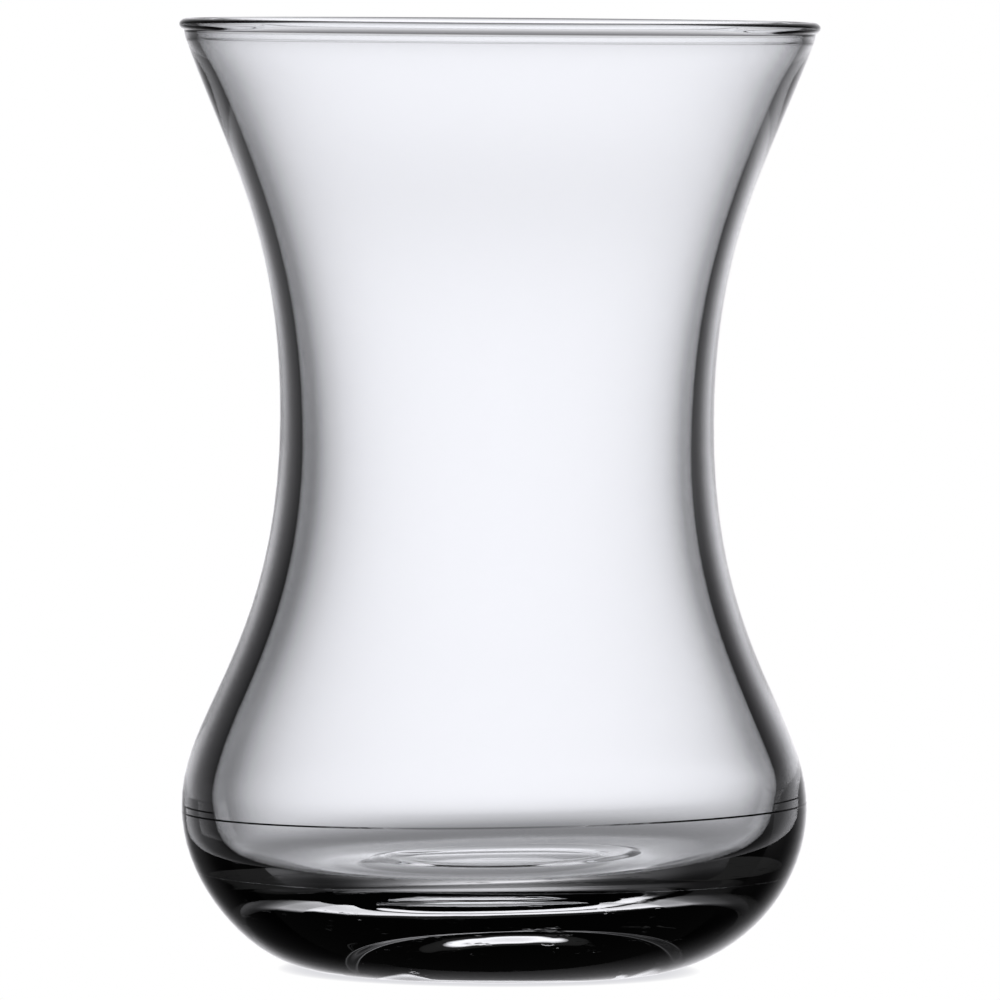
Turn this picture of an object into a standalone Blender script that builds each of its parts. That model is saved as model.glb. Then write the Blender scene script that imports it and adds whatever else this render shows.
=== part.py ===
"""Tulip-shaped tea glass, empty: one piece of pressed clear glass.

A profile is turned about the vertical axis. It runs from the middle of the
cavity floor up the inner wall, over the rim bead, down the outer wall and
under the foot. Lengths are in metres, +Z is up, and the origin is at the
middle of the foot, on the surface that the glass stands on.
"""

import math

import bpy
from mathutils import Vector
from mathutils.geometry import interpolate_bezier

MM = 0.001

# Driving dimensions of the outer wall
HEIGHT = 88.0 * MM
RIM_RADIUS = 29.65 * MM
WAIST_RADIUS = 20.09 * MM
WAIST_HEIGHT = 51.1 * MM
BELLY_RADIUS = 28.98 * MM
BELLY_HEIGHT = 15.2 * MM
FOOT_RADIUS = 14.4 * MM

# Driving dimensions of the cavity
INNER_WAIST_RADIUS = 18.05 * MM
INNER_WAIST_HEIGHT = 48.5 * MM
INNER_BELLY_RADIUS = 26.23 * MM
INNER_BELLY_HEIGHT = 16.6 * MM
FLOOR_RADIUS = 11.0 * MM
FLOOR_HEIGHT = 8.2 * MM

# The rim is a fire-polished bead, a little thicker than the wall below it
BEAD_RADIUS = 0.78 * MM
WALL_TOP_HEIGHT = HEIGHT - 1.8 * MM
WALL_TOP_RADIUS = RIM_RADIUS - 0.58 * MM
WALL_TOP_THICKNESS = 1.1 * MM
BEAD_INNER_ANGLE = math.radians(210.0)
BEAD_OUTER_ANGLE = math.radians(-60.0)

# The underside is a flat standing ring round a shallow hollow
KICK_RADIUS = 12.4 * MM
KICK_DEPTH = 0.6 * MM

# How far each curve keeps its direction as it leaves a named place
FOOT_PULL = 6.8 * MM
BELLY_PULL_DOWN = 8.1 * MM
BELLY_PULL_UP = 8.9 * MM
WAIST_PULL_DOWN = 21.3 * MM
WAIST_PULL_UP = 17.0 * MM
MOUTH_PULL = 11.6 * MM
INNER_MOUTH_PULL = 6.2 * MM
INNER_WAIST_PULL_UP = 21.5 * MM
INNER_WAIST_PULL_DOWN = 17.9 * MM
INNER_BELLY_PULL_UP = 5.7 * MM
INNER_BELLY_PULL_DOWN = 8.0 * MM
FLOOR_PULL = 9.1 * MM

# Radius gained for each unit of height, just under the bead
MOUTH_FLARE = 0.364
INNER_MOUTH_FLARE = 0.345

# Flat pieces along each stretch of the profile, and round the axis
FLOOR_PIECES = 2
CORNER_PIECES = 9
LOWER_WALL_PIECES = 9
UPPER_WALL_PIECES = 8
BEAD_PIECES = 9
UNDERSIDE_PIECES = 9
KICK_PIECES = 3
TURN_STEPS = 64

# Poles are closed where profile ends meet the axis
POLE_MERGE_DISTANCE = 0.01 * MM

GLASS_COLOUR = (0.955, 0.965, 0.985, 1.0)
GLASS_ROUGHNESS = 0.02
GLASS_IOR = 1.52


def clear_scene():
    """Remove whatever the open file holds, so that the glass stands alone."""
    for item in list(bpy.data.objects):
        bpy.data.objects.remove(item, do_unlink=True)


def at(radius, height):
    """A point of the profile, at a distance from the axis and a height."""
    return Vector((radius, 0.0, height))


def flare_direction(flare):
    """The unit direction of a wall that opens upwards by the given flare."""
    return at(flare, 1.0).normalized()


def curve(start, start_handle, end_handle, end, pieces):
    """Points along one smooth curve, without its last point."""
    return interpolate_bezier(start, start_handle, end_handle, end, pieces + 1)[:-1]


def floor_points():
    """The level middle of the cavity floor, and its long round corner up to the belly."""
    belly = at(INNER_BELLY_RADIUS, INNER_BELLY_HEIGHT)
    edge = at(FLOOR_RADIUS, FLOOR_HEIGHT)
    level = [at(FLOOR_RADIUS * step / FLOOR_PIECES, FLOOR_HEIGHT) for step in range(FLOOR_PIECES)]
    corner = curve(
        edge,
        edge + at(FLOOR_PULL, 0.0),
        belly - at(0.0, INNER_BELLY_PULL_DOWN),
        belly,
        CORNER_PIECES,
    )
    return level + corner


def inner_wall_points():
    """The inner wall, from the belly in to the waist and out to the mouth."""
    belly = at(INNER_BELLY_RADIUS, INNER_BELLY_HEIGHT)
    waist = at(INNER_WAIST_RADIUS, INNER_WAIST_HEIGHT)
    mouth = at(WALL_TOP_RADIUS - WALL_TOP_THICKNESS, WALL_TOP_HEIGHT)
    lower = curve(
        belly,
        belly + at(0.0, INNER_BELLY_PULL_UP),
        waist - at(0.0, INNER_WAIST_PULL_DOWN),
        waist,
        LOWER_WALL_PIECES,
    )
    upper = curve(
        waist,
        waist + at(0.0, INNER_WAIST_PULL_UP),
        mouth - INNER_MOUTH_PULL * flare_direction(INNER_MOUTH_FLARE),
        mouth,
        UPPER_WALL_PIECES,
    )
    return lower + upper + [mouth]


def bead_points():
    """The round bead of the rim, from its inner side over the top to its outer side."""
    centre = at(RIM_RADIUS - BEAD_RADIUS, HEIGHT - BEAD_RADIUS)
    turn = BEAD_OUTER_ANGLE - BEAD_INNER_ANGLE
    angles = [BEAD_INNER_ANGLE + turn * step / BEAD_PIECES for step in range(BEAD_PIECES + 1)]
    return [centre + BEAD_RADIUS * at(math.cos(angle), math.sin(angle)) for angle in angles]


def outer_wall_points():
    """The outer wall, from the mouth in to the waist, out to the belly and under to the foot."""
    mouth = at(WALL_TOP_RADIUS, WALL_TOP_HEIGHT)
    waist = at(WAIST_RADIUS, WAIST_HEIGHT)
    belly = at(BELLY_RADIUS, BELLY_HEIGHT)
    foot = at(FOOT_RADIUS, 0.0)
    upper = curve(
        mouth,
        mouth - MOUTH_PULL * flare_direction(MOUTH_FLARE),
        waist + at(0.0, WAIST_PULL_UP),
        waist,
        UPPER_WALL_PIECES,
    )
    lower = curve(
        waist,
        waist - at(0.0, WAIST_PULL_DOWN),
        belly + at(0.0, BELLY_PULL_UP),
        belly,
        LOWER_WALL_PIECES,
    )
    underside = curve(
        belly,
        belly - at(0.0, BELLY_PULL_DOWN),
        foot + at(FOOT_PULL, 0.0),
        foot,
        UNDERSIDE_PIECES,
    )
    return upper + lower + underside + [foot]


def kick_points():
    """The shallow hollow under the foot, from the standing ring in to the axis."""
    spread = [1.0 - step / KICK_PIECES for step in range(KICK_PIECES + 1)]
    return [at(KICK_RADIUS * part, KICK_DEPTH * (1.0 - part * part)) for part in spread]


def clear_glass_material():
    """Clear soda-lime glass with a fire-polished surface."""
    material = bpy.data.materials.new("clear_glass")
    material.use_nodes = True
    shader = material.node_tree.nodes["Principled BSDF"]
    shader.inputs["Base Color"].default_value = GLASS_COLOUR
    shader.inputs["Metallic"].default_value = 0.0
    shader.inputs["Roughness"].default_value = GLASS_ROUGHNESS
    shader.inputs["IOR"].default_value = GLASS_IOR
    shader.inputs["Transmission Weight"].default_value = 1.0
    return material


def tea_glass():
    """The whole glass: the profile as a line of edges, turned once about the axis."""
    points = floor_points() + inner_wall_points() + bead_points()
    points += outer_wall_points() + kick_points()
    mesh = bpy.data.meshes.new("tea_glass")
    edges = [(index, index + 1) for index in range(len(points) - 1)]
    mesh.from_pydata(points, edges, [])
    mesh.materials.append(clear_glass_material())
    glass = bpy.data.objects.new("tea_glass", mesh)
    bpy.context.scene.collection.objects.link(glass)
    turned = glass.modifiers.new("turned", "SCREW")
    turned.axis = "Z"
    turned.steps = TURN_STEPS
    turned.render_steps = TURN_STEPS
    turned.use_merge_vertices = True
    turned.merge_threshold = POLE_MERGE_DISTANCE
    turned.use_smooth_shade = True
    return glass


def main():
    clear_scene()
    tea_glass()


if __name__ == "__main__":
    main()
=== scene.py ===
"""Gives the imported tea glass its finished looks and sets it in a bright-field studio.

The file is laid out as an add-on: one operator turns the glass, one builds the set
round it, and their sizes and colours are properties. Run as a script, it registers
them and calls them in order.
Lengths are in metres, and +Z is up.
"""

import math

import bmesh
import bpy
from bpy.props import FloatProperty, FloatVectorProperty, PointerProperty
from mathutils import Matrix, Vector


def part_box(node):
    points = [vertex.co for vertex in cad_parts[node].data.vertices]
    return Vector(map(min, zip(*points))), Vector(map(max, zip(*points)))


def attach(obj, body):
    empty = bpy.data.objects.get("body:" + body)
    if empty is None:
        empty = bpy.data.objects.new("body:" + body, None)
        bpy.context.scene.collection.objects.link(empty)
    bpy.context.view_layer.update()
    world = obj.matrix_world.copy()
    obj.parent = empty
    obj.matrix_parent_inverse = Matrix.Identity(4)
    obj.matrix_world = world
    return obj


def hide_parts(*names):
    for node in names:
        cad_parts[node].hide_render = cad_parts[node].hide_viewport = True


bl_info = {
    "name": "Tulip Tea Glass",
    "version": (1, 0, 0),
    "blender": (4, 5, 0),
    "location": "3D View > Sidebar > Tea Glass",
    "description": "Turns a clear tulip tea glass and sets it in a bright-field studio",
    "category": "Object",
}

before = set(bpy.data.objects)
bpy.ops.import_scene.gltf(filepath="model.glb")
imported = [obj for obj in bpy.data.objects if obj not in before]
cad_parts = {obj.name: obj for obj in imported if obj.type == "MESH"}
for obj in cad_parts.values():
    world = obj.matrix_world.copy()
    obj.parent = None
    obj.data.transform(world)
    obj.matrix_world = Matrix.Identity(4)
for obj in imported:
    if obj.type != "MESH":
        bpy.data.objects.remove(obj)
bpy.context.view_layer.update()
GLASS_LOW, GLASS_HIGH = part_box("tea_glass")
GLASS_HEIGHT = GLASS_HIGH.z - GLASS_LOW.z
GLASS_RADIUS = (GLASS_HIGH.x - GLASS_LOW.x) / 2.0

MM = 0.001

# The rim is a fire-polished bead, wider than it is tall, that overhangs the wall below it
BEAD_HALF_WIDTH = 0.80 * MM
BEAD_HALF_HEIGHT = 0.56 * MM
BEAD_DEPTH = 1.8 * MM
BEAD_OVERHANG = 0.58 * MM
WALL_TOP_THICKNESS = 1.1 * MM
BEAD_START_ANGLE = 210.0
BEAD_ARCS = 3
BEAD_ARC_ANGLE = -90.0
QUARTER_HANDLE = 4.0 / 3.0 * math.tan(math.pi / 8.0)

# How far each curve keeps its direction as it leaves a named place
FOOT_PULL = 6.8 * MM
BELLY_PULL_DOWN = 8.1 * MM
BELLY_PULL_UP = 8.9 * MM
WAIST_PULL_DOWN = 21.3 * MM
WAIST_PULL_UP = 17.0 * MM
MOUTH_PULL = 11.6 * MM
INNER_MOUTH_PULL = 6.2 * MM
INNER_WAIST_PULL_UP = 21.5 * MM
INNER_WAIST_PULL_DOWN = 17.9 * MM
INNER_BELLY_PULL_UP = 5.7 * MM
INNER_BELLY_PULL_DOWN = 8.0 * MM
FLOOR_PULL = 9.1 * MM

# Radius gained for each unit of height, just under the bead
MOUTH_FLARE = 0.364
INNER_MOUTH_FLARE = 0.345

# Fineness of the turned mesh
CURVE_PIECES = 20
TURN_STEPS = 256
MERGE_DISTANCE = 0.002 * MM
CUT_ROUNDS = 40

# Length and height of the scuffs round the base, and how rare and how sharp they are
SCUFF_LENGTH = 4.0 * MM
SCUFF_THICKNESS = 1.0 * MM / 2.2
SCUFF_SCALE = (1.0 / SCUFF_LENGTH, 1.0 / SCUFF_LENGTH, 1.0 / SCUFF_THICKNESS)
SCUFF_START = 0.62
SCUFF_FULL = 0.75
SCUFF_FADE_START = 0.4

GLASS_IOR = 1.52

# The mould line is a hairline step round the front of the outer belly
SEAM_HALF_WIDTH = 0.08 * MM
SEAM_HEIGHT = 15.2 * MM
SEAM_LEAST_RADIUS = 27.6 * MM
SEAM_FADE = 6.0 * MM

# How far up the walls the tilt of the cavity and the shift of the foot fade out
TILT_REACH = 12.0 * MM
FOOT_REACH = 14.0 * MM

# The cavity floor lies between these heights, ends this far inside the belly and sags by less
# than this, and the foot ends this far beyond its standing ring
FLOOR_TOP = 11.0 * MM
FLOOR_BOTTOM = 6.0 * MM
FLOOR_MARGIN = 3.0 * MM
FLOOR_SAG = 1.0 * MM
FOOT_MARGIN = 1.0 * MM

# Radius that the middle of the base's wall loses for each unit of depth below the belly
BASE_SLOPE = 0.45

# How large the set is, next to the camera that it is built round
FLOOR_SIZE = 6.0
# How far from the glass the painted contact shadow on the floor reaches
PAINTED_SHADOW_REACH = 1.0 * MM
CLIP_END = 20.0
CAMERA_SENSOR = 36.0
PHOTO_WIDTH = 1000.0

# How the panel's light falls off: metres from its middle, and the share of the light there
PANEL_ACROSS = (
    (-1.60, 0.03),
    (-1.10, 0.012),
    (-0.75, 0.07),
    (-0.50, 0.07),
    (-0.33, 0.31),
    (-0.20, 0.66),
    (-0.10, 0.86),
    (0.00, 0.94),
    (0.10, 0.87),
    (0.20, 0.81),
    (0.33, 0.58),
    (0.50, 0.24),
    (0.75, 0.045),
    (1.10, 0.02),
    (1.60, 0.12),
)
PANEL_UPRIGHT = (
    (-1.40, 0.1),
    (-1.10, 0.15),
    (-0.85, 0.2),
    (-0.60, 0.26),
    (-0.35, 0.66),
    (-0.15, 0.94),
    (-0.03, 1.0),
    (0.06, 0.9),
    (0.15, 0.66),
    (0.35, 0.34),
    (0.70, 0.22),
    (1.40, 0.12),
)


def linear(hex_colour):
    """The linear colour of an sRGB hex value."""
    channels = [int(hex_colour[place:place + 2], 16) / 255.0 for place in (1, 3, 5)]
    lit = [c / 12.92 if c <= 0.04045 else ((c + 0.055) / 1.055) ** 2.4 for c in channels]
    return (*lit, 1.0)


def length(name, description, default):
    """A property that holds one size."""
    return FloatProperty(
        name=name,
        description=description,
        default=default,
        min=0.0,
        precision=5,
        unit="LENGTH",
    )


def share(name, description, default, highest=1.0):
    """A property that holds a strength or a share."""
    return FloatProperty(
        name=name,
        description=description,
        default=default,
        min=0.0,
        max=highest,
        precision=3,
    )


def turn(name, description, degrees):
    """A property that holds one angle."""
    return FloatProperty(
        name=name,
        description=description,
        default=math.radians(degrees),
        subtype="ANGLE",
        unit="ROTATION",
    )


def colour(name, description, hex_colour):
    """A property that holds one colour."""
    return FloatVectorProperty(
        name=name,
        description=description,
        subtype="COLOR",
        size=4,
        min=0.0,
        max=1.0,
        default=linear(hex_colour),
    )


class TeaGlassShape(bpy.types.PropertyGroup):
    """Sizes of the turned glass."""

    height: length("Height", "Foot to the top of the rim", GLASS_HEIGHT)
    rim_radius: length("Rim radius", "Outermost radius of the rim bead", GLASS_RADIUS)
    waist_radius: length("Waist radius", "Outer radius at the narrowest place", 20.09 * MM)
    waist_height: length("Waist height", "Height of the narrowest place outside", 51.1 * MM)
    belly_radius: length("Belly radius", "Outer radius at the widest place", 28.98 * MM)
    belly_height: length("Belly height", "Height of the widest place outside", 15.2 * MM)
    foot_radius: length("Foot radius", "Outer radius of the standing ring", 14.9 * MM)
    kick_radius: length("Kick radius", "Radius of the hollow under the foot", 12.4 * MM)
    kick_depth: length("Kick depth", "Depth of the hollow under the foot", 1.0 * MM)
    inner_waist_radius: length("Inner waist radius", "Cavity radius at its narrowest place", 18.05 * MM)
    inner_waist_height: length("Inner waist height", "Height of the cavity's narrowest place", 48.5 * MM)
    inner_belly_radius: length("Inner belly radius", "Cavity radius at its widest place", 26.23 * MM)
    inner_belly_height: length("Inner belly height", "Height of the cavity's widest place", 16.2 * MM)
    floor_radius: length("Floor radius", "Radius of the level middle of the cavity floor", 11.0 * MM)
    floor_height: length("Floor height", "Height of the cavity floor", 8.2 * MM)
    ring_radius: length("Floor ring radius", "Radius of the ridge on the cavity floor", 11.5 * MM)
    ring_height: length("Floor ring height", "Height of the ridge", 0.31 * MM)
    ring_inside: length("Floor ring inside", "Width of the ridge's inner slope", 3.0 * MM)
    ring_outside: length("Floor ring outside", "Width of the ridge's outer slope", 1.5 * MM)
    ring_offset: length("Floor ring offset", "How far the ridge lies right of the axis", 1.1 * MM)
    floor_tilt: turn("Floor tilt", "How far the cavity floor rises to the right", 1.3)
    foot_offset: length("Foot offset", "How far the foot lies left of the axis", 0.5 * MM)
    ripple_depth: length("Ripple depth", "Depth of the ripples in the cavity floor", 0.02 * MM)
    ripple_size: length("Ripple size", "Size of the ripples in the cavity floor", 3.0 * MM)


class TeaGlassFinish(bpy.types.PropertyGroup):
    """Colour and wear of the glass."""

    tint: colour("Tint", "Colour of light that has come through the wall", "#FBFCFD")
    wave_size: length("Wave size", "Size of the slow waves in the pressed surface", 14.0 * MM)
    wave_depth: length("Wave depth", "Depth of the slow waves in the pressed surface", 0.004 * MM)
    scratch_height: length("Scuff height", "How far up the base is scuffed", 13.0 * MM)
    scratch_depth: length("Scuff depth", "Depth of the scuffs round the base", 0.004 * MM)
    seam_depth: length("Mould line depth", "How far the lower mould stands out", 0.16 * MM)
    seam_tilt: turn("Mould line tilt", "How far the mould line rises to the right", 1.2)


class TeaGlassStudio(bpy.types.PropertyGroup):
    """The camera, the bright panel behind the glass and the floor."""

    camera_distance: length("Camera distance", "Level distance from the camera to the glass", 1.19)
    camera_height: length("Camera height", "Height of the camera above the floor", 97.8 * MM)
    aim_height: length("Aim height", "Height of the point the camera looks at", 43.6 * MM)
    aim_side: length("Aim side", "How far right of the axis the camera looks", 0.33 * MM)
    camera_roll: turn("Camera roll", "How far the camera leans", 0.43)
    pixels_per_mm: FloatProperty(
        name="Pixels per millimetre",
        description="Scale of the picture at the glass, in a picture 1000 pixels wide",
        default=10.8,
        min=1.0,
    )
    panel_distance: length("Panel distance", "Distance from the camera to the bright panel", 2.4)
    panel_width: length("Panel width", "Width of the bright panel", 3.4)
    panel_height: length("Panel height", "Height of the bright panel", 2.8)
    panel_strength: share("Panel strength", "Brightness of the middle of the panel", 1.345, 10.0)
    panel_colour: colour("Panel colour", "Colour of the panel's light", "#FCFBFF")
    room_strength: share("Room strength", "Brightness of the dim room all round", 0.015)
    backdrop: colour("Backdrop", "Colour of the wall and floor behind the glass", "#FFFFFF")
    # Colour of the contact shadow painted on the floor right beside the foot
    painted_contact_shadow: colour("Contact shade", "Colour of the floor right beside the foot", "#DCDCE0")


def at(radius, height):
    """A point of the outline, at a distance from the axis and a height."""
    return Vector((radius, 0.0, height))


def flare_direction(flare):
    """The unit direction of a wall that opens upwards by the given flare."""
    return at(flare, 1.0).normalized()


def deselect_all():
    """Leaves no object selected, so that an operator acts on the new piece alone."""
    for item in list(bpy.context.selected_objects):
        item.select_set(False)


def make_active(item):
    """Selects one object alone and makes it the active one."""
    deselect_all()
    item.select_set(True)
    bpy.context.view_layer.objects.active = item


def cut_curve(points, cut):
    """Cuts a curve of two places and two handles in two, and gives the second part."""
    start, ahead, behind, end = points
    first, middle, last = start.lerp(ahead, cut), ahead.lerp(behind, cut), behind.lerp(end, cut)
    leaving, arriving = first.lerp(middle, cut), middle.lerp(last, cut)
    return leaving.lerp(arriving, cut), arriving, last, end


def corner_beyond(shape, radius):
    """The cavity floor's long round corner, from the given radius out to the belly."""
    edge = at(shape.floor_radius, shape.floor_height)
    belly = at(shape.inner_belly_radius, shape.inner_belly_height)
    points = (edge, edge + at(FLOOR_PULL, 0.0), belly - at(0.0, INNER_BELLY_PULL_DOWN), belly)
    least, most = 0.0, 1.0
    for _ in range(CUT_ROUNDS):
        cut = (least + most) / 2.0
        if cut_curve(points, cut)[0].x < radius:
            least = cut
        else:
            most = cut
    return cut_curve(points, (least + most) / 2.0)


def cavity_stations(shape):
    """The cavity, from the middle of its floor up to the mouth.

    Each station is a place, the handle behind it and the handle ahead of it.
    """
    middle = at(0.0, shape.floor_height)
    rise_start = at(shape.ring_radius - shape.ring_inside, shape.floor_height)
    crest = at(shape.ring_radius, corner_beyond(shape, shape.ring_radius)[0].z + shape.ring_height)
    ring_end = shape.ring_radius + shape.ring_outside
    fall_end, corner_ahead, corner_behind, belly = corner_beyond(shape, ring_end)
    slope = (corner_ahead - fall_end).normalized()
    inside, outside = shape.ring_inside / 3.0, shape.ring_outside / 3.0
    waist = at(shape.inner_waist_radius, shape.inner_waist_height)
    mouth = at(shape.rim_radius - BEAD_OVERHANG - WALL_TOP_THICKNESS, shape.height - BEAD_DEPTH)
    rise = flare_direction(INNER_MOUTH_FLARE)
    third = rise_start / 3.0 - at(0.0, shape.floor_height / 3.0)
    return [
        (middle, middle, middle + third),
        (rise_start, rise_start - third, rise_start + at(inside, 0.0)),
        (crest, crest - at(inside, 0.0), crest + at(outside, 0.0)),
        (fall_end, fall_end - outside * slope, corner_ahead),
        (belly, corner_behind, belly + at(0.0, INNER_BELLY_PULL_UP)),
        (waist, waist - at(0.0, INNER_WAIST_PULL_DOWN), waist + at(0.0, INNER_WAIST_PULL_UP)),
        (mouth, mouth - INNER_MOUTH_PULL * rise, mouth + BEAD_HALF_HEIGHT / 2.0 * rise),
    ]


def bead_stations(shape):
    """The rim bead, from its inner side over the top to its outer side."""
    centre = at(shape.rim_radius - BEAD_HALF_WIDTH, shape.height - BEAD_HALF_HEIGHT)
    stations = []
    for arc in range(BEAD_ARCS + 1):
        angle = math.radians(BEAD_START_ANGLE + BEAD_ARC_ANGLE * arc)
        across, up = math.cos(angle), math.sin(angle)
        place = centre + at(BEAD_HALF_WIDTH * across, BEAD_HALF_HEIGHT * up)
        ahead = QUARTER_HANDLE * at(BEAD_HALF_WIDTH * up, -BEAD_HALF_HEIGHT * across)
        stations.append((place, place - ahead, place + ahead))
    first_place, _, first_ahead = stations[0]
    last_place, last_behind, _ = stations[-1]
    stations[0] = (first_place, first_place - at(0.0, BEAD_HALF_HEIGHT / 3.0), first_ahead)
    groove = at(BEAD_HALF_HEIGHT / 6.0, BEAD_HALF_HEIGHT / 4.0)
    stations[-1] = (last_place, last_behind, last_place - groove)
    return stations


def wall_stations(shape):
    """The outer wall from the mouth down, the standing ring and the hollow under the foot."""
    mouth = at(shape.rim_radius - BEAD_OVERHANG, shape.height - BEAD_DEPTH)
    waist = at(shape.waist_radius, shape.waist_height)
    belly = at(shape.belly_radius, shape.belly_height)
    foot = at(shape.foot_radius, 0.0)
    ring = at(shape.kick_radius, 0.0)
    kick = at(0.0, shape.kick_depth)
    fall = flare_direction(MOUTH_FLARE)
    step = (foot - ring) / 3.0
    kick_corner = at(shape.kick_radius / 2.0, shape.kick_depth)
    return [
        (mouth, mouth + BEAD_HALF_HEIGHT / 2.0 * fall, mouth - MOUTH_PULL * fall),
        (waist, waist + at(0.0, WAIST_PULL_UP), waist - at(0.0, WAIST_PULL_DOWN)),
        (belly, belly + at(0.0, BELLY_PULL_UP), belly - at(0.0, BELLY_PULL_DOWN)),
        (foot, foot + at(FOOT_PULL, 0.0), foot - step),
        (ring, ring + step, ring.lerp(kick_corner, 2.0 / 3.0)),
        (kick, kick.lerp(kick_corner, 2.0 / 3.0), kick),
    ]


def draw_outline(stations):
    """Draws the half outline as one curve, and leaves it as a line of edges."""
    deselect_all()
    bpy.ops.curve.primitive_bezier_curve_add(location=(0.0, 0.0, 0.0))
    line = bpy.context.object
    line.name = "turned_glass"
    line.data.name = "turned_glass"
    line.data.resolution_u = CURVE_PIECES
    bpy.ops.object.mode_set(mode="EDIT")
    bpy.ops.curve.select_all(action="DESELECT")
    line.data.splines[0].bezier_points[-1].select_control_point = True
    for place, _, _ in stations[2:]:
        bpy.ops.curve.vertex_add(location=place)
    bpy.ops.object.mode_set(mode="OBJECT")
    for point, (place, behind, ahead) in zip(line.data.splines[0].bezier_points, stations):
        point.handle_left_type = "FREE"
        point.handle_right_type = "FREE"
        point.co = place
        point.handle_left = behind
        point.handle_right = ahead
    make_active(line)
    bpy.ops.object.convert(target="MESH")
    return bpy.context.object


def turn_outline(glass):
    """Turns the line of edges once about the axis and closes the seam and the poles."""
    make_active(glass)
    bpy.ops.object.mode_set(mode="EDIT")
    bpy.ops.mesh.select_all(action="SELECT")
    bpy.ops.mesh.spin(steps=TURN_STEPS, angle=math.tau, center=(0.0, 0.0, 0.0), axis=(0.0, 0.0, 1.0))
    bpy.ops.mesh.select_all(action="SELECT")
    bpy.ops.mesh.remove_doubles(threshold=MERGE_DISTANCE)
    bpy.ops.mesh.normals_make_consistent(inside=False)
    bpy.ops.object.mode_set(mode="OBJECT")
    bpy.ops.object.shade_smooth()


def select_vertices(glass, wanted):
    """In edit mode, selects just the vertices whose place passes the test."""
    bpy.ops.mesh.select_mode(type="VERT")
    bpy.ops.mesh.select_all(action="DESELECT")
    mesh = bmesh.from_edit_mesh(glass.data)
    for vertex in mesh.verts:
        vertex.select_set(wanted(vertex.co))
    bmesh.update_edit_mesh(glass.data)


def is_floor(co, shape):
    """Whether a place lies on the cavity floor, inside its round corner."""
    widest = shape.inner_belly_radius - FLOOR_MARGIN
    return FLOOR_BOTTOM < co.z < FLOOR_TOP and co.xy.length < widest


def is_cavity(co, shape):
    """Whether a place below the belly lies on the cavity and not on the outside."""
    middle = (shape.inner_belly_radius + shape.belly_radius) / 2.0
    return co.xy.length < middle - BASE_SLOPE * (shape.inner_belly_height - co.z)


def move_softly(glass, wanted, reach, operator, **values):
    """Moves the wanted vertices and, along the surface, fades the move out over its reach."""
    make_active(glass)
    bpy.ops.object.mode_set(mode="EDIT")
    select_vertices(glass, wanted)
    operator(
        use_proportional_edit=True,
        use_proportional_connected=True,
        proportional_edit_falloff="SMOOTH",
        proportional_size=reach,
        **values,
    )
    bpy.ops.object.mode_set(mode="OBJECT")


def shift_floor(glass, shape):
    """Moves the ridge and the floor inside it aside, as a plunger that sat off the axis did."""
    least = shape.ring_radius + shape.ring_outside
    move_softly(
        glass,
        lambda co: is_floor(co, shape) and co.xy.length < least,
        shape.inner_belly_radius - least,
        bpy.ops.transform.translate,
        value=(shape.ring_offset, 0.0, 0.0),
    )


def tilt_floor(glass, shape):
    """Tilts the lower part of the cavity, as a plunger that stood a little askew did."""
    least = shape.floor_height - FLOOR_SAG
    most = shape.inner_belly_height
    move_softly(
        glass,
        lambda co: least < co.z < most and is_cavity(co, shape),
        TILT_REACH,
        bpy.ops.transform.rotate,
        value=shape.floor_tilt,
        orient_axis="Y",
        center_override=(0.0, 0.0, most),
    )


def shift_foot(glass, shape):
    """Moves the foot a little off the axis."""
    highest = shape.kick_depth + MERGE_DISTANCE
    widest = shape.foot_radius + FOOT_MARGIN
    move_softly(
        glass,
        lambda co: co.z < highest and co.xy.length < widest,
        FOOT_REACH,
        bpy.ops.transform.translate,
        value=(-shape.foot_offset, 0.0, 0.0),
    )


def ripple_floor(glass, shape):
    """Presses uneven ripples into the cavity floor, fading out towards its corner."""
    if shape.ripple_depth == 0.0:
        return
    group = glass.vertex_groups.new(name="cavity_floor")
    fade_start = shape.floor_radius
    fade_end = shape.inner_belly_radius - FLOOR_MARGIN
    for vertex in glass.data.vertices:
        if is_floor(vertex.co, shape):
            across = (fade_end - vertex.co.xy.length) / (fade_end - fade_start)
            group.add([vertex.index], min(1.0, max(0.0, across)), "REPLACE")
    pattern = bpy.data.textures.new("floor_ripples", "CLOUDS")
    pattern.noise_scale = shape.ripple_size
    pattern.noise_depth = 1
    ripple = glass.modifiers.new("floor_ripples", "DISPLACE")
    ripple.texture = pattern
    ripple.texture_coords = "LOCAL"
    ripple.direction = "Z"
    ripple.vertex_group = "cavity_floor"
    ripple.strength = shape.ripple_depth
    make_active(glass)
    bpy.ops.object.modifier_apply(modifier="floor_ripples")


def add_node(tree, kind, settings=None, links=None):
    """Adds one shader node. Settings are its own values, and links its sockets' values or sources."""
    node = tree.nodes.new(kind)
    for name, value in (settings or {}).items():
        setattr(node, name, value)
    for socket, value in (links or {}).items():
        if isinstance(value, bpy.types.NodeSocket):
            tree.links.new(value, node.inputs[socket])
        else:
            node.inputs[socket].default_value = value
    return node


def new_material(name):
    """A material with an empty node tree, and that tree."""
    material = bpy.data.materials.new(name)
    material.use_nodes = True
    material.node_tree.nodes.clear()
    return material, material.node_tree


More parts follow.
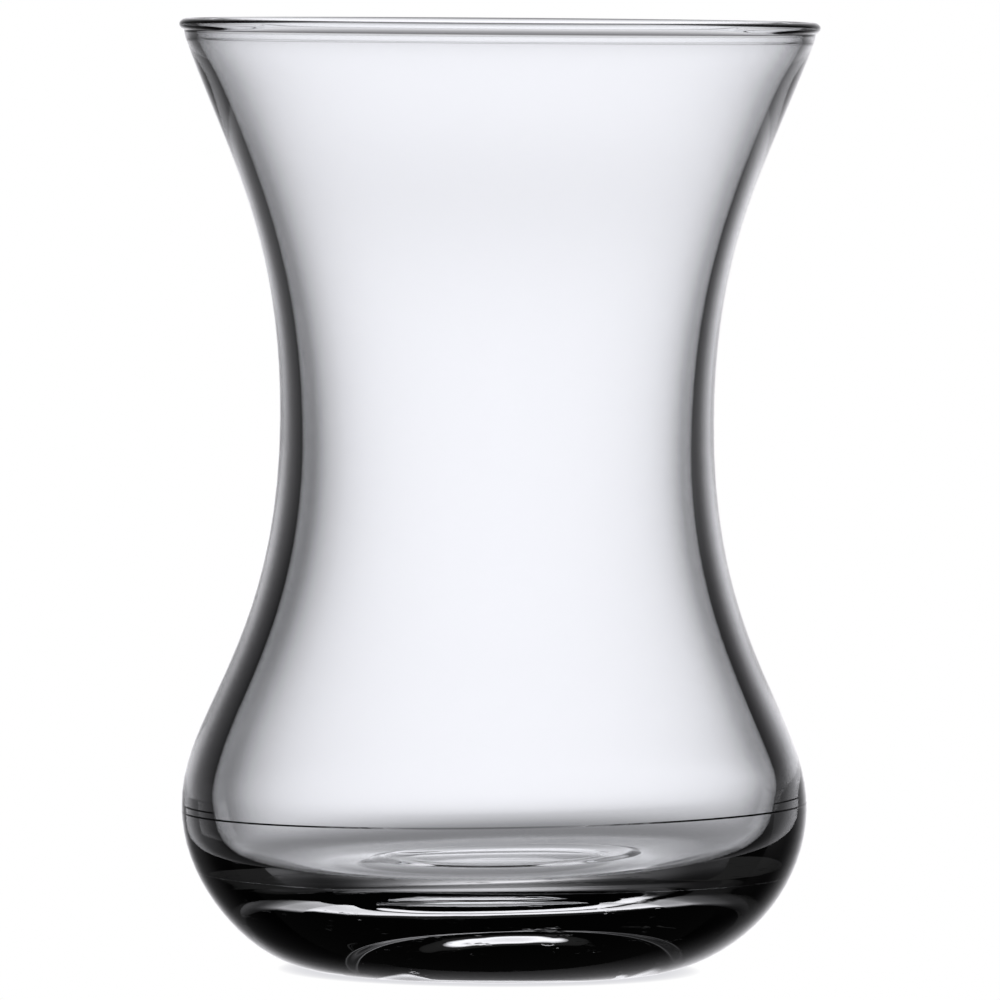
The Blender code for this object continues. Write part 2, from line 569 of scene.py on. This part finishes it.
def pressed_soda_lime_glass(finish):
    """Soda-lime glass, pressed in a mould and fire-polished.

    The flame leaves a full gloss with slow waves in it, which bend the light behind the
    glass a little. Use leaves fine level scuffs round the base, and nothing further up. The
    mould leaves one hairline round the belly.
    """
    material, tree = new_material("pressed_soda_lime_glass")
    place = add_node(tree, "ShaderNodeTexCoord").outputs["Object"]
    waves = add_node(
        tree,
        "ShaderNodeTexNoise",
        links={"Vector": place, "Scale": 1.0 / finish.wave_size, "Detail": 1.0, "Roughness": 0.4},
    )
    waved = add_node(
        tree,
        "ShaderNodeBump",
        links={"Strength": 1.0, "Distance": finish.wave_depth, "Height": waves.outputs["Fac"]},
    )
    stretched = add_node(
        tree,
        "ShaderNodeMapping",
        links={"Vector": place, "Scale": SCUFF_SCALE},
    )
    scuffs = add_node(
        tree,
        "ShaderNodeTexNoise",
        links={"Vector": stretched.outputs["Vector"], "Scale": 1.0, "Detail": 3.0, "Roughness": 0.7},
    )
    height = add_node(tree, "ShaderNodeSeparateXYZ", links={"Vector": place}).outputs["Z"]
    low = add_node(
        tree,
        "ShaderNodeMapRange",
        settings={"interpolation_type": "SMOOTHSTEP"},
        links={
            "Value": height,
            "From Min": SCUFF_FADE_START * finish.scratch_height,
            "From Max": finish.scratch_height,
            "To Min": 1.0,
            "To Max": 0.0,
        },
    )
    sparse = add_node(
        tree,
        "ShaderNodeMapRange",
        links={
            "Value": scuffs.outputs["Fac"],
            "From Min": SCUFF_START,
            "From Max": SCUFF_FULL,
        },
    )
    worn = add_node(
        tree,
        "ShaderNodeMath",
        settings={"operation": "MULTIPLY"},
        links={0: low.outputs["Result"], 1: sparse.outputs["Result"]},
    )
    scuffed = add_node(
        tree,
        "ShaderNodeBump",
        links={
            "Strength": 1.0,
            "Distance": finish.scratch_depth,
            "Height": worn.outputs["Value"],
            "Normal": waved.outputs["Normal"],
        },
    )
    lined = mould_line(tree, finish, place, scuffed.outputs["Normal"])
    shader = add_node(
        tree,
        "ShaderNodeBsdfPrincipled",
        links={
            "Base Color": finish.tint,
            "Roughness": 0.0,
            "IOR": GLASS_IOR,
            "Transmission Weight": 1.0,
            "Normal": lined,
        },
    )
    add_node(tree, "ShaderNodeOutputMaterial", links={"Surface": shader.outputs["BSDF"]})
    return material


def mould_line(tree, finish, place, normal):
    """The hairline step where two moulds met, seen as a thin dark line round the front."""
    parts = add_node(tree, "ShaderNodeSeparateXYZ", links={"Vector": place})
    rise = add_node(
        tree,
        "ShaderNodeMath",
        settings={"operation": "MULTIPLY"},
        links={0: parts.outputs["X"], 1: -math.tan(finish.seam_tilt)},
    )
    level = add_node(
        tree,
        "ShaderNodeMath",
        settings={"operation": "ADD"},
        links={0: parts.outputs["Z"], 1: rise.outputs["Value"]},
    )
    step = add_node(
        tree,
        "ShaderNodeMapRange",
        links={
            "Value": level.outputs["Value"],
            "From Min": SEAM_HEIGHT - SEAM_HALF_WIDTH,
            "From Max": SEAM_HEIGHT + SEAM_HALF_WIDTH,
            "To Min": 1.0,
            "To Max": 0.0,
        },
    )
    flat = add_node(
        tree,
        "ShaderNodeVectorMath",
        settings={"operation": "MULTIPLY"},
        links={0: place, 1: (1.0, 1.0, 0.0)},
    )
    radius = add_node(
        tree,
        "ShaderNodeVectorMath",
        settings={"operation": "LENGTH"},
        links={0: flat.outputs["Vector"]},
    )
    outside = add_node(
        tree,
        "ShaderNodeMath",
        settings={"operation": "GREATER_THAN"},
        links={0: radius.outputs["Value"], 1: SEAM_LEAST_RADIUS},
    )
    front = add_node(
        tree,
        "ShaderNodeMapRange",
        links={
            "Value": parts.outputs["Y"],
            "From Min": 0.0,
            "From Max": SEAM_FADE,
            "To Min": 1.0,
            "To Max": 0.0,
        },
    )
    shown = add_node(
        tree,
        "ShaderNodeMath",
        settings={"operation": "MULTIPLY"},
        links={0: outside.outputs["Value"], 1: front.outputs["Result"]},
    )
    height = add_node(
        tree,
        "ShaderNodeMath",
        settings={"operation": "MULTIPLY"},
        links={0: step.outputs["Result"], 1: shown.outputs["Value"]},
    )
    bump = add_node(
        tree,
        "ShaderNodeBump",
        links={
            "Strength": 1.0,
            "Distance": finish.seam_depth,
            "Height": height.outputs["Value"],
            "Normal": normal,
        },
    )
    return bump.outputs["Normal"]


def bright_panel_cloth(studio):
    """Lit diffuser cloth: brightest in its middle and fading to its edges, more slowly on the right."""
    material, tree = new_material("lit_diffuser_cloth")
    place = add_node(tree, "ShaderNodeTexCoord").outputs["Object"]
    sides = add_node(tree, "ShaderNodeSeparateXYZ", links={"Vector": place})
    across = fade(tree, sides.outputs["X"], PANEL_ACROSS)
    upright = fade(tree, sides.outputs["Y"], PANEL_UPRIGHT)
    faded = add_node(
        tree,
        "ShaderNodeMix",
        settings={"data_type": "RGBA", "blend_type": "MULTIPLY"},
        links={"Factor": 1.0, "A": across, "B": upright},
    )
    tinted = add_node(
        tree,
        "ShaderNodeMix",
        settings={"data_type": "RGBA", "blend_type": "MULTIPLY"},
        links={"Factor": 1.0, "A": faded.outputs["Result"], "B": studio.panel_colour},
    )
    light = add_node(
        tree,
        "ShaderNodeEmission",
        links={"Color": tinted.outputs["Result"], "Strength": studio.panel_strength},
    )
    add_node(tree, "ShaderNodeOutputMaterial", links={"Surface": light.outputs["Emission"]})
    return material


def fade(tree, source, stops):
    """Turns a distance in metres into a grey, through the shares given at each distance."""
    first, last = stops[0][0], stops[-1][0]
    along = add_node(
        tree,
        "ShaderNodeMapRange",
        links={"Value": source, "From Min": first, "From Max": last},
    )
    ramp = add_node(tree, "ShaderNodeValToRGB", links={"Fac": along.outputs["Result"]})
    ramp.color_ramp.interpolation = "B_SPLINE"
    marks = ramp.color_ramp.elements
    for distance, _ in stops[1:-1]:
        marks.new((distance - first) / (last - first))
    for mark, (_, part) in zip(marks, stops):
        mark.color = (part, part, part, 1.0)
    return ramp.outputs["Color"]


def pale_floor_with_painted_shadow(studio):
    """Even white floor paint, with a soft shadow painted into its colour where the glass stands on it.
    """
    material, tree = new_material("pale_floor_with_painted_shadow")
    nearby = add_node(tree, "ShaderNodeAmbientOcclusion", links={"Distance": PAINTED_SHADOW_REACH})
    # Painted shadow: where ambient occlusion finds the glass near, the floor's colour turns towards the
    # painted contact shadow colour
    shade = add_node(
        tree,
        "ShaderNodeMix",
        settings={"data_type": "RGBA"},
        links={"Factor": nearby.outputs["AO"], "A": studio.painted_contact_shadow, "B": studio.backdrop},
    )
    light = add_node(tree, "ShaderNodeEmission", links={"Color": shade.outputs["Result"]})
    add_node(tree, "ShaderNodeOutputMaterial", links={"Surface": light.outputs["Emission"]})
    return material


def set_room(studio):
    """A white wall behind the glass for the camera, and a dim room for all other light."""
    world = bpy.data.worlds.new("studio_room")
    bpy.context.scene.world = world
    world.use_nodes = True
    tree = world.node_tree
    tree.nodes.clear()
    dim = [studio.room_strength * channel for channel in studio.backdrop[:3]]
    seen = add_node(tree, "ShaderNodeLightPath").outputs["Is Camera Ray"]
    mix = add_node(
        tree,
        "ShaderNodeMix",
        settings={"data_type": "RGBA"},
        links={"Factor": seen, "A": (*dim, 1.0), "B": studio.backdrop},
    )
    light = add_node(tree, "ShaderNodeBackground", links={"Color": mix.outputs["Result"]})
    add_node(tree, "ShaderNodeOutputWorld", links={"Surface": light.outputs["Background"]})


def place_camera(studio):
    """The camera, at the height and distance that give the photograph's view."""
    aim = Vector((studio.aim_side, 0.0, studio.aim_height))
    bpy.ops.object.camera_add(location=(0.0, -studio.camera_distance, studio.camera_height))
    camera = bpy.context.object
    camera.name = "studio_camera"
    sight = aim - camera.location
    camera.rotation_euler = sight.to_track_quat("-Z", "Y").to_euler()
    camera.rotation_euler.rotate_axis("Z", studio.camera_roll)
    camera.data.sensor_width = CAMERA_SENSOR
    camera.data.lens = studio.pixels_per_mm / MM * sight.length * CAMERA_SENSOR / PHOTO_WIDTH
    camera.data.clip_end = CLIP_END
    bpy.context.scene.camera = camera
    return camera


def place_panel(studio, camera):
    """The bright panel, which turns with the camera and so always stands behind the glass."""
    bpy.ops.mesh.primitive_plane_add(size=1.0, location=(0.0, 0.0, 0.0))
    panel = bpy.context.object
    panel.name = "bright_panel"
    bpy.ops.object.mode_set(mode="EDIT")
    bpy.ops.transform.resize(value=(studio.panel_width, studio.panel_height, 1.0))
    bpy.ops.object.mode_set(mode="OBJECT")
    panel.data.materials.append(bright_panel_cloth(studio))
    panel.parent = camera
    panel.location = (0.0, 0.0, -studio.panel_distance)
    panel.visible_camera = False
    panel.visible_shadow = False


def place_floor(studio):
    """The pale floor. It is kept out of the glass, which in the photograph shows a dark room there."""
    bpy.ops.mesh.primitive_plane_add(size=FLOOR_SIZE, location=(0.0, 0.0, 0.0))
    floor = bpy.context.object
    floor.name = "pale_floor"
    floor.data.materials.append(pale_floor_with_painted_shadow(studio))
    floor.visible_glossy = False
    floor.visible_transmission = False
    floor.visible_shadow = False


class OBJECT_OT_tea_glass_turn(bpy.types.Operator):
    """Turn the glass from its outline, set its floor askew and give it its finish"""

    bl_idname = "object.tea_glass_turn"
    bl_label = "Turn the glass"
    bl_options = {"REGISTER", "UNDO"}

    def execute(self, context):
        shape = context.scene.tea_glass_shape
        stations = cavity_stations(shape) + bead_stations(shape) + wall_stations(shape)
        glass = draw_outline(stations)
        turn_outline(glass)
        shift_floor(glass, shape)
        ripple_floor(glass, shape)
        tilt_floor(glass, shape)
        shift_foot(glass, shape)
        glass.data.materials.clear()
        glass.data.materials.append(pressed_soda_lime_glass(context.scene.tea_glass_finish))
        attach(glass, "root")
        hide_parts("tea_glass")
        return {"FINISHED"}


class OBJECT_OT_tea_glass_stage(bpy.types.Operator):
    """Set up the camera, the bright panel behind the glass, the pale floor and the dim room"""

    bl_idname = "object.tea_glass_stage"
    bl_label = "Set the stage"
    bl_options = {"REGISTER", "UNDO"}

    def execute(self, context):
        studio = context.scene.tea_glass_studio
        deselect_all()
        set_room(studio)
        camera = place_camera(studio)
        place_panel(studio, camera)
        place_floor(studio)
        context.scene.view_settings.view_transform = "Standard"
        return {"FINISHED"}


class VIEW3D_PT_tea_glass(bpy.types.Panel):
    """Lists the operators of the tea glass and what they read"""

    bl_label = "Tea Glass"
    bl_space_type = "VIEW_3D"
    bl_region_type = "UI"
    bl_category = "Tea Glass"

    def draw(self, context):
        scene = context.scene
        for group, operator in (
            (scene.tea_glass_shape, OBJECT_OT_tea_glass_turn.bl_idname),
            (scene.tea_glass_finish, None),
            (scene.tea_glass_studio, OBJECT_OT_tea_glass_stage.bl_idname),
        ):
            column = self.layout.column(align=True)
            for name in group.__annotations__:
                column.prop(group, name)
            if operator:
                self.layout.operator(operator)


CLASSES = (
    TeaGlassShape,
    TeaGlassFinish,
    TeaGlassStudio,
    OBJECT_OT_tea_glass_turn,
    OBJECT_OT_tea_glass_stage,
    VIEW3D_PT_tea_glass,
)


def register():
    for cls in CLASSES:
        bpy.utils.register_class(cls)
    bpy.types.Scene.tea_glass_shape = PointerProperty(type=TeaGlassShape)
    bpy.types.Scene.tea_glass_finish = PointerProperty(type=TeaGlassFinish)
    bpy.types.Scene.tea_glass_studio = PointerProperty(type=TeaGlassStudio)


def unregister():
    del bpy.types.Scene.tea_glass_studio
    del bpy.types.Scene.tea_glass_finish
    del bpy.types.Scene.tea_glass_shape
    for cls in reversed(CLASSES):
        bpy.utils.unregister_class(cls)


def main():
    register()
    bpy.ops.object.tea_glass_turn()
    bpy.ops.object.tea_glass_stage()


if __name__ == "__main__":
    main()
